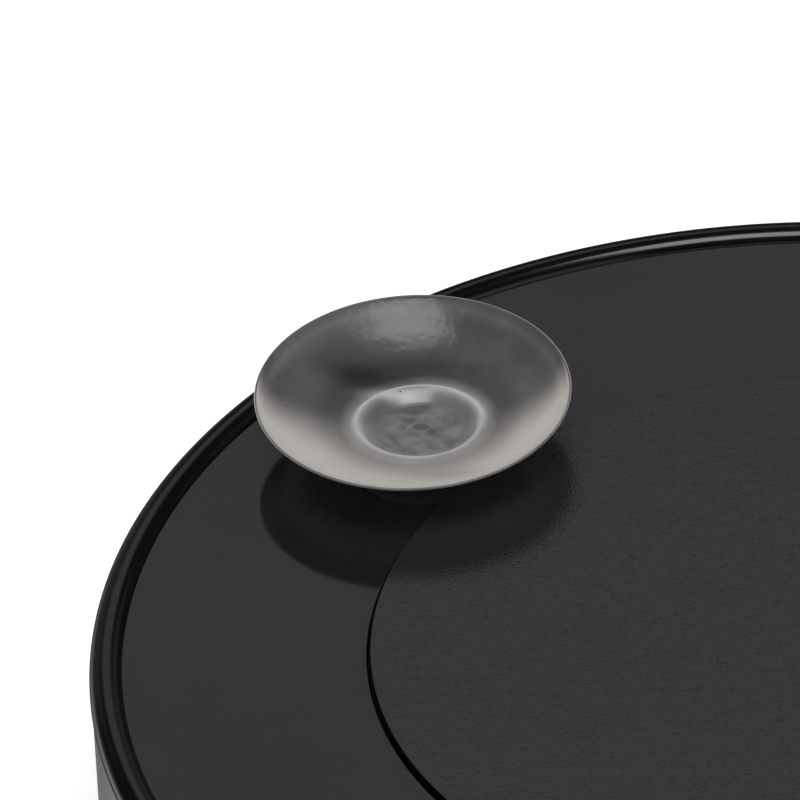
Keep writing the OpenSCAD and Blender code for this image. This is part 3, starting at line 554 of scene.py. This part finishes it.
# %% Section of a cup
LIP_R = 20.45
LIP_H = 8.75
LIP_ROUND = 0.2
DISH_KNEE = (15.4, 5.7)
CREST_Z = 3.8
CREST_ROUND = 0.55
WELL_R = 8.0
WELL_FLOOR = 2.4
NECK_R = 3.0
BARB_R = NECK_R + 1.6
BARB_TOP = -PLATE_T - 0.6
NECK_LOW = -PLATE_T - NECK_TIP
GATE_MARK = ((0.0, 0.02), (0.5, 0.03), (0.85, 0.22), (1.15, 0.3), (1.45, 0.2), (1.75, -0.02), (2.1, 0.0),
             (4.2, 0.02))
WELL_FOOT = curve((5.4, 0.02), (6.05, 0.02), (6.32, 0.22), 6)
WELL_WALL = ((6.73, 0.54), (7.15, 0.86), (7.57, 1.18))
cup_section = (
    [(x, WELL_FLOOR + z) for x, z in (*GATE_MARK, *WELL_FOOT, *WELL_WALL)]
    + arc((WELL_R + 0.15, CREST_Z - CREST_ROUND), CREST_ROUND, 122, 62, 9)
    + curve((WELL_R + 0.75, CREST_Z - 0.1), (WELL_R + 3.4, CREST_Z + 0.2), DISH_KNEE, 18)
    + curve(DISH_KNEE, (18.4, 7.0), (LIP_R - 0.36, LIP_H - 0.12), 18)[1:]
    + arc((LIP_R - LIP_ROUND, LIP_H - 0.22), LIP_ROUND, 130, -30, 8)
    + curve((LIP_R - 0.1, LIP_H - 0.45), (14.9, 4.0), (WELL_R + 1.0, 0.5), 26)
    + arc((WELL_R + 0.55, 0.42), 0.4, -10, -90, 5)
    + rounded([(WELL_R - 0.2, 0.02, 0), (NECK_R, 0.02, 0.15), (NECK_R, BARB_TOP, 0.1), (BARB_R, BARB_TOP, 0.25),
               (NECK_R - 0.6, NECK_LOW, 0.3), (0.0, NECK_LOW, 0)]))
print("points in the cup's section:", len(cup_section))

# %% How milky a cup is at each point
RADII = (0.0, 6.0, 7.3, 8.2, 9.0, 10.3, 12.0, 14.5, 17.9, 18.5, 19.1, 20.0, 20.4)
HAZE = (0.2, 0.21, 0.27, 0.78, 0.32, 0.09, 0.08, 0.15, 0.16, 0.19, 0.25, 0.16, 0.3)
EDGE = (0.15, 0.15, 0.2, 1.0, 0.62, 0.48, 0.58, 0.9, 1.0, 1.0, 1.0, 1.0, 0.85)
HAZE_UNDER = 0.85
EDGE_UNDER = 0.1
FOOT_RISE = 4.0
LEVEL = 0.2
HAZE_TILT = 0.14
SOONER_RIGHT = 0.012
SOONER_LEFT = 0.032
# Soft patches: middle across and along the dish, half sizes and strength.
# Painted dark reflection: this patch makes the dish darker above and left of the well.
PAINTED_DARK_REFLECTION = (-7.4, 9.8, 5.0, 2.4, 0.85)
# Painted highlight: this patch paints the glint of the lamp on the far wall of the well.
PAINTED_HIGHLIGHT = (-2.4, 6.8, 3.4, 0.9, 0.95)
CLEAR_PATCH = (3.5, -14.0, 4.6, 1.7, 0.32)


def by_radius(table, radius):
    for r0, r1, v0, v1 in zip(RADII, RADII[1:], table, table[1:]):
        if radius <= r1:
            return v0 + (v1 - v0) * (radius - r0) / (r1 - r0)
    return table[-1]


def between(value, start, end):
    """Runs from 0 at start to 1 at end, and stays there."""
    return min(max((value - start) / (end - start), 0.0), 1.0)


def soft_patch(sizes, across, along):
    mid_x, mid_y, half_x, half_y, strength = sizes
    return strength * math.exp(-((across - mid_x) / half_x) ** 2 - ((along - mid_y) / half_y) ** 2)


def milkiness(across, along, rise, upward):
    """Haze with painted light, edge, side and crinkle of a point, placed in millimetres from the cup's middle.
    """
    radius = math.hypot(across, along)
    sooner = max(across * SOONER_RIGHT, -across * SOONER_LEFT) / LIP_R
    if upward < -LEVEL or upward < LEVEL and rise < FOOT_RISE:
        inner = max(between(radius, 8.0, 12.0), 0.1)
        return HAZE_UNDER * min(inner, between(radius, 18.6, 16.6)), EDGE_UNDER, sooner, 0.0
    # The haze here is lowered by a painted dark reflection on the dish and raised by a painted highlight on the
    # well's far wall.
    hazy_with_painted_light = by_radius(HAZE, radius) * (1 - soft_patch(PAINTED_DARK_REFLECTION, across, along))
    hazy_with_painted_light = hazy_with_painted_light * (1 + HAZE_TILT * across / LIP_R) + soft_patch(PAINTED_HIGHLIGHT, across, along)
    edgy = by_radius(EDGE, radius) * (1 - soft_patch(CLEAR_PATCH, across, along))
    crinkled = between(radius, 6.2, 5.2) if upward > LEVEL else 0.0
    return hazy_with_painted_light, edgy, sooner, crinkled


print("haze at the middle, crest and lip:", [by_radius(HAZE, r) for r in (0.0, 8.2, LIP_R)])

# %% The three cups, each leaning a little its own way
# For each cup: lean across and along, slip of the dish, slip of the lip, and lean of the well.
LEANS = ((0.004, 0.028, 0.45, -0.3, -0.045), (0.012, -0.008, -0.3, 0.0, 0.0), (-0.009, 0.004, -0.2, 0.0, 0.0))
CUP_LOOKS = ("haze_and_painted_light", "edge", "side", "crinkle")
for number, (lean_x, lean_y, slip, lip_slip, well_lean) in enumerate(LEANS, start=1):
    low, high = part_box(f"suction_cup_{number}")
    centre = (low + high) / 2 / MM
    cup = turned_piece(f"clear_cup_{number}", [(x, z + ring_z) for x, z in cup_section], soft_clear, 160,
                       (centre.x, centre.y))
    for name in CUP_LOOKS:
        cup.data.attributes.new(name, "FLOAT", "POINT")
    upwards = [normal.vector.z for normal in cup.data.vertex_normals]
    for point, upward in zip(cup.data.vertices, upwards):
        across, along = point.co.x / MM - centre.x, point.co.y / MM - centre.y
        rise = point.co.z / MM - ring_z
        for name, value in zip(CUP_LOOKS, milkiness(across, along, rise, upward)):
            cup.data.attributes[name].data[point.index].value = value
        free = between(rise, 3.0, 8.0)
        lift = (lean_x * across + lean_y * along) * free
        if upward > LEVEL:
            lift += well_lean * along * between(math.hypot(across, along), 18.0, 9.0)
        point.co.z += MM * lift
        point.co.x += MM * (slip * between(rise, 0.1, 1.6) + (lip_slip - slip) * free)
    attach(cup, "turning_top")
    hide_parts(f"suction_cup_{number}")
    print(cup.name, "at", (round(centre.x, 2), round(centre.y, 2)), "faces:", len(cup.data.polygons))

# %% [markdown]
# ## Rubber feet
#
# Four feet keep the stand from sliding. Each is a soft black button with a rounded edge and two shallow
# grip grooves, and sits in a seat of the cover.

# %% Feet
GROOVE_RADII = (2.6, 5.0)
GROOVE = ((0, 0.0), (0.12, 0.25), (0.5, 0.35), (0.88, 0.25), (1.0, 0.0))
foot_rubber = black_plastic("foot_rubber", roughness=0.62, patch_depth=0.1, grain_per_metre=3000.0,
                            grain_mm=0.012, speck_share=0.25)
foot_low, foot_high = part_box("foot_front_left")
foot_r = (foot_high.x - foot_low.x) / 2 / MM
foot_h = foot_high.z / MM
foot_section = ([(0.0, 0.0)] + [(r + d, z) for r in GROOVE_RADII for d, z in GROOVE]
                + rounded([(foot_r - 1.2, 0.0, 0), (foot_r, 0.0, 0.8), (foot_r, foot_h, 0.2),
                           (0.0, foot_h, 0)]))
for corner in ("front_left", "front_right", "rear_left", "rear_right"):
    low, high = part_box(f"foot_{corner}")
    centre = (low + high) / 2 / MM
    foot = turned_piece(f"rubber_foot_{corner}", foot_section, foot_rubber, 72, (centre.x, centre.y))
    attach(foot, "base")
    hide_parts(f"foot_{corner}")
print("feet radius:", round(foot_r, 2), "height:", round(foot_h, 2))

# %% [markdown]
# ## Finishes of the other solids
#
# The remaining solids keep their shape and only get a finish: black mouldings, natural nylon gears, brass,
# steel, nickel, ferrite, lacquered copper, cell jackets and wire insulation. A metal is a Principled shader
# with a worn roughness, so one function makes all metals, and another makes all plain mouldings.

# %% Metals and pale plastics
METAL_SCALES = {"Grain Per Metre": 2200.0, "Patch Per Metre": 150.0}
METAL_DULLED = 0.72
METAL_GRAIN_MM = 0.004
MOULDED_SCALES = {"Grain Per Metre": 1500.0, "Patch Per Metre": 120.0}
MOULDED_SHADE = 0.8
SMEAR_DULLING = 0.12


def metal(name, colour, roughness, wear, streak=(1.0, 1.0, 1.0)):
    finish, tree, shader, place = start_finish(name, {"Metallic": 1.0})
    stretch = add_node(tree, "ShaderNodeMapping", {"Scale": streak})
    tree.links.new(place, stretch.inputs["Vector"])
    skin = use_group(tree, mould_texture, stretch.outputs["Vector"], METAL_SCALES)
    dull = tuple(c * METAL_DULLED for c in colour)
    tree.links.new(tint(tree, skin.outputs["Patches"], dull, colour), shader.inputs["Base Color"])
    worn = math_node(tree, "MULTIPLY_ADD", skin.outputs["Height"], wear, roughness)
    tree.links.new(worn, shader.inputs["Roughness"])
    bump(tree, shader, skin.outputs["Height"], METAL_GRAIN_MM)
    return finish


def moulded(name, colour, roughness, grain_mm=0.01):
    finish, tree, shader, place = start_finish(name, {"IOR": PLASTIC_IOR})
    skin = use_group(tree, mould_texture, place, MOULDED_SCALES)
    dirt = use_group(tree, dust, place, {"Speck Share": 0.1})
    shade = tuple(c * MOULDED_SHADE for c in colour)
    tree.links.new(tint(tree, skin.outputs["Patches"], shade, colour), shader.inputs["Base Color"])
    smeared = math_node(tree, "MULTIPLY_ADD", dirt.outputs["Smears"], SMEAR_DULLING, roughness)
    tree.links.new(smeared, shader.inputs["Roughness"])
    bump(tree, shader, skin.outputs["Height"], grain_mm)
    return finish


finishes = {
    "steel": metal("ground_steel", (0.6, 0.6, 0.61), 0.18, 0.2, (1.0, 1.0, 6.0)),
    "brass": metal("sintered_brass", (0.62, 0.45, 0.2), 0.32, 0.25),
    "zinc": metal("zinc_plate", (0.58, 0.59, 0.6), 0.26, 0.2),
    "nickel": metal("nickel_strip", (0.7, 0.68, 0.64), 0.16, 0.18),
    "copper": metal("lacquered_copper", (0.58, 0.27, 0.13), 0.3, 0.2, (1.0, 1.0, 8.0)),
    "ferrite": moulded("sintered_ferrite", (0.06, 0.06, 0.065), 0.55, 0.02),
    "nylon": moulded("natural_nylon", (0.72, 0.7, 0.62), 0.4),
    "cap": moulded("cap_nylon", (0.7, 0.68, 0.6), 0.45),
    "grey": moulded("grey_abs", (0.07, 0.07, 0.075), 0.42),
    "red": moulded("red_insulation", (0.5, 0.045, 0.03), 0.38),
    "black": moulded("black_insulation", (0.02, 0.02, 0.02), 0.38),
}
print("finishes:", sorted(finishes))

# %% Cell jacket: a plain sleeve with a pale band at each end
SLEEVE_BLUE = (0.03, 0.075, 0.16)
BAND_GREY = (0.42, 0.43, 0.45)
BAND_FROM, BAND_TO = 0.0125, 0.0127
jacket, tree, shader, place = start_finish("cell_jacket", {"Metallic": 0.35, "IOR": PLASTIC_IOR})
split = add_node(tree, "ShaderNodeSeparateXYZ")
tree.links.new(place, split.inputs["Vector"])
banded = ramp(tree, math_node(tree, "ABSOLUTE", split.outputs["X"]), BAND_FROM, BAND_TO)
skin = use_group(tree, mould_texture, place, {"Grain Per Metre": 900.0, "Patch Per Metre": 90.0})
tree.links.new(tint(tree, banded, SLEEVE_BLUE, BAND_GREY), shader.inputs["Base Color"])
rubbed = math_node(tree, "MULTIPLY_ADD", skin.outputs["Patches"], 0.12, 0.22)
tree.links.new(rubbed, shader.inputs["Roughness"])
bump(tree, shader, skin.outputs["Height"], 0.006)
finishes["jacket"] = jacket
print("finish:", jacket.name)

# %% Give each solid its finish
dressed = {
    wall_satin: ["base_housing"],
    cover_matt: ["bottom_cover", "battery_door"],
    finishes["steel"]: ["cover_screws", "platter_screw", "spindle", "retaining_clip", "bearing_balls",
                        "gear_pins", "gear_plate_screws", "motor_shaft"],
    finishes["brass"]: ["spindle_bush", "lower_bush", "motor_pinion", "motor_terminals", "switch_terminals"],
    finishes["zinc"]: ["motor_can"],
    finishes["nickel"]: ["contact_link", "contact_positive", "contact_negative", "battery_spring_1",
                         "battery_spring_2"],
    finishes["copper"]: ["motor_armature"],
    finishes["ferrite"]: ["motor_magnets"],
    finishes["nylon"]: ["output_gear", "gear_c", "gear_b", "gear_a", "ball_cage"],
    finishes["cap"]: ["motor_endcap"],
    finishes["grey"]: ["gear_plate", "switch_body", "switch_slider"],
    finishes["jacket"]: ["battery_1", "battery_2"],
    finishes["red"]: ["wire_battery_switch", "wire_switch_motor"],
    finishes["black"]: ["wire_motor_battery"],
}
for finish, names in dressed.items():
    for name in names:
        for held in nodes[name].material_slots:
            held.material = finish
print("dressed solids:", sum(len(names) for names in dressed.values()))

# %% [markdown]
# ## Marks beside the switch
#
# A plain bar and ring, moulded beside the knob's window, tell on from off. They are small raised shapes on
# the floor of the pocket. The ring is swept like the other turned pieces, the bar is a cube with rounded
# edges, and both are stood up on the wall.

# %% On and off marks
mark_print = moulded("mark_print", (0.6, 0.6, 0.58), 0.5, 0.004)
knob_low, knob_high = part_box("switch_slider")
mark_z = (knob_low.z + knob_high.z) / 2 / MM
POCKET_X = 87.6
MARK_Y = 7.2
MARK_H = 0.16
MARK_SINK = 0.02
MARK_ROUND = 0.05
RING_IN_R, RING_OUT_R = 0.75, 1.15
BAR_L, BAR_W = 2.3, 0.42


def stand_on_wall(piece, y):
    spot = Matrix.Translation((POCKET_X * MM, y * MM, mark_z * MM))
    piece.data.transform(spot @ Matrix.Rotation(math.pi / 2, 4, "Y"))


ring_corners = [(RING_IN_R, -MARK_SINK, 0), (RING_IN_R, MARK_H, MARK_ROUND), (RING_OUT_R, MARK_H, MARK_ROUND),
                (RING_OUT_R, -MARK_SINK, 0)]
ring_section = rounded(ring_corners, steps=3, guard=0.02) + [(RING_IN_R, -MARK_SINK)]
ring_mark = turned_piece("mark_off", ring_section, mark_print, 48)
stand_on_wall(ring_mark, -MARK_Y)
bar_place = Matrix.Translation((0, 0, (MARK_H - MARK_SINK) / 2 * MM))
bar_size = Matrix.Diagonal((BAR_L * MM, BAR_W * MM, (MARK_H + MARK_SINK) * MM, 1.0))
bar_form = bmesh.new()
bmesh.ops.create_cube(bar_form, size=1.0, matrix=bar_place @ bar_size)
bmesh.ops.bevel(bar_form, geom=bar_form.edges[:], offset=MARK_ROUND * MM, segments=2, affect="EDGES")
bar_mesh = bpy.data.meshes.new("mark_on")
bar_form.to_mesh(bar_mesh)
bar_form.free()
bar_mesh.materials.append(mark_print)
bar_mark = bpy.data.objects.new("mark_on", bar_mesh)
bpy.context.collection.objects.link(bar_mark)
stand_on_wall(bar_mark, MARK_Y)
for piece in (ring_mark, bar_mark):
    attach(piece, "base")
print("marks at z", round(mark_z, 2))

# %% [markdown]
# ## Studio
#
# Black gloss shows the room more than itself, so the room is built for it. A large lamp hangs overhead, a
# grey panel stands behind, more panels stand at the sides and in front, and a dark tent closes the rest.
# The tent is only seen in reflections. The floor and the world are white to the camera, and the floor still
# takes the stand's shadow. In reflections the floor fades out away from the stand, as a sheet of limited
# size would.

# %% Light path mask and the white world
def seen_directly(tree):
    path = add_node(tree, "ShaderNodeLightPath")
    first = math_node(tree, "MAXIMUM", path.outputs["Is Camera Ray"], path.outputs["Is Glossy Ray"])
    return math_node(tree, "MAXIMUM", first, path.outputs["Is Transmission Ray"])


WORLD_FILL = 0.45
WHITE = (1.0, 1.0, 1.0, 1.0)
world = bpy.data.worlds.new("white_studio")
world.use_nodes = True
bpy.context.scene.world = world
tree = world.node_tree
white = tree.nodes["Background"]
white.inputs["Color"].default_value = WHITE
white.inputs["Strength"].default_value = 1.0
fill = add_node(tree, "ShaderNodeBackground", {"Color": WHITE, "Strength": WORLD_FILL})
mixed = add_node(tree, "ShaderNodeMixShader")
tree.links.new(seen_directly(tree), mixed.inputs[0])
tree.links.new(fill.outputs[0], mixed.inputs[1])
tree.links.new(white.outputs[0], mixed.inputs[2])
tree.links.new(mixed.outputs[0], tree.nodes["World Output"].inputs["Surface"])
print("world fill:", WORLD_FILL)

# %% Floor
FLOOR_GLOW = 0.5
FLOOR_HALF = 7.0
PAPER = (0.86, 0.86, 0.86, 1.0)
FADED = (0.02, 0.02, 0.02, 1.0)
FADE_FROM, FADE_TO, FADE_MOST = 0.15, 0.31, 0.85
floor_white = bpy.data.materials.new("floor_white")
floor_white.use_nodes = True
floor_white.cycles.emission_sampling = "NONE"
tree = floor_white.node_tree
tree.nodes.remove(tree.nodes["Principled BSDF"])
paper = add_node(tree, "ShaderNodeBsdfDiffuse", {"Color": PAPER})
glow = add_node(tree, "ShaderNodeEmission", {"Color": WHITE})
both = add_node(tree, "ShaderNodeAddShader")
tree.links.new(math_node(tree, "MULTIPLY", seen_directly(tree), FLOOR_GLOW), glow.inputs["Strength"])
tree.links.new(paper.outputs[0], both.inputs[0])
tree.links.new(glow.outputs[0], both.inputs[1])
reach = add_node(tree, "ShaderNodeVectorMath", operation="LENGTH")
tree.links.new(add_node(tree, "ShaderNodeTexCoord").outputs["Object"], reach.inputs[0])
mirrored = add_node(tree, "ShaderNodeLightPath").outputs["Is Glossy Ray"]
distant = ramp(tree, reach.outputs["Value"], FADE_FROM, FADE_TO, 0.0, FADE_MOST)
gone = add_node(tree, "ShaderNodeBsdfDiffuse", {"Color": FADED})
faded = add_node(tree, "ShaderNodeMixShader")
tree.links.new(math_node(tree, "MULTIPLY", distant, mirrored), faded.inputs["Fac"])
tree.links.new(both.outputs[0], faded.inputs[1])
tree.links.new(gone.outputs[0], faded.inputs[2])
tree.links.new(faded.outputs[0], tree.nodes["Material Output"].inputs["Surface"])
floor_mesh = bpy.data.meshes.new("floor")
floor_corners = [(x * FLOOR_HALF, y * FLOOR_HALF, 0) for x, y in ((-1, -1), (1, -1), (1, 1), (-1, 1))]
floor_mesh.from_pydata(floor_corners, [], [(0, 1, 2, 3)])
floor_mesh.materials.append(floor_white)
floor = bpy.data.objects.new("floor", floor_mesh)
bpy.context.collection.objects.link(floor)
print("floor glow:", FLOOR_GLOW)

# %% Dark tent with grey panels behind, at the sides and in front
TENT_R = 6.0
TENT_GREY = 0.03
CLOTH_COLOUR = (0.985, 0.985, 1.055, 1.0)
DEGREES = 180 / math.pi
tent_cloth = bpy.data.materials.new("tent_cloth")
tent_cloth.use_nodes = True
tent_cloth.cycles.emission_sampling = "NONE"
tree = tent_cloth.node_tree
tree.nodes.remove(tree.nodes["Principled BSDF"])
spot = add_node(tree, "ShaderNodeTexCoord")
aim = add_node(tree, "ShaderNodeVectorMath", operation="NORMALIZE")
split = add_node(tree, "ShaderNodeSeparateXYZ")
tree.links.new(spot.outputs["Object"], aim.inputs[0])
tree.links.new(aim.outputs["Vector"], split.inputs["Vector"])
height = math_node(tree, "MULTIPLY", math_node(tree, "ARCSINE", split.outputs["Z"]), DEGREES)
turn_round = math_node(tree, "ARCTAN2", split.outputs["X"], split.outputs["Y"])
aside = math_node(tree, "ABSOLUTE", math_node(tree, "MULTIPLY", turn_round, DEGREES))


def band(angle, low, high, soft):
    rising = ramp(tree, angle, low - soft, low)
    return math_node(tree, "MULTIPLY", rising, ramp(tree, angle, high, high + soft, 1.0, 0.0))


def panel(heights, asides, level, soft):
    """A soft-edged panel, in degrees above the floor and degrees aside from straight behind."""
    area = math_node(tree, "MULTIPLY", band(height, *heights, soft), band(aside, *asides, soft))
    return math_node(tree, "MULTIPLY", area, level)


behind = panel(heights=(37, 46), asides=(-10, 14), level=0.465, soft=12.0)
sides = panel(heights=(6, 24), asides=(20, 38), level=0.12, soft=9.0)
front = panel(heights=(10, 30), asides=(105, 150), level=0.55, soft=8.0)
panels = math_node(tree, "ADD", math_node(tree, "ADD", behind, front), sides)
total = math_node(tree, "ADD", panels, TENT_GREY)
cloth = add_node(tree, "ShaderNodeEmission", {"Color": CLOTH_COLOUR})
tree.links.new(total, cloth.inputs["Strength"])
tree.links.new(cloth.outputs[0], tree.nodes["Material Output"].inputs["Surface"])
tent_form = bmesh.new()
bmesh.ops.create_uvsphere(tent_form, u_segments=64, v_segments=32, radius=TENT_R)
tent_mesh = bpy.data.meshes.new("tent")
tent_form.to_mesh(tent_mesh)
tent_form.free()
tent_mesh.materials.append(tent_cloth)
tent = bpy.data.objects.new("tent", tent_mesh)
bpy.context.collection.objects.link(tent)
for ray in ("camera", "diffuse", "transmission", "shadow", "volume_scatter"):
    setattr(tent, f"visible_{ray}", False)
print("tent panels: behind, sides and front")

# %% Lamp overhead
LAMP_HEIGHT = 1.0
LAMP_X = -0.02
LAMP_NEAR_Y = -0.5
LAMP_FAR_Y = 0.02
LAMP_WIDTH = 0.6
LAMP_RADIANCE = 5.3
lamp_data = bpy.data.lights.new("overhead", "AREA")
lamp_data.shape = "RECTANGLE"
lamp_data.size = LAMP_WIDTH
lamp_data.size_y = LAMP_FAR_Y - LAMP_NEAR_Y
lamp_data.energy = LAMP_RADIANCE * math.pi * lamp_data.size * lamp_data.size_y
lamp = bpy.data.objects.new("overhead", lamp_data)
lamp.location = (LAMP_X, (LAMP_NEAR_Y + LAMP_FAR_Y) / 2, LAMP_HEIGHT)
lamp.visible_camera = False
bpy.context.collection.objects.link(lamp)
bpy.context.scene.view_settings.view_transform = "Standard"
print("lamp watts:", round(lamp_data.energy, 2))
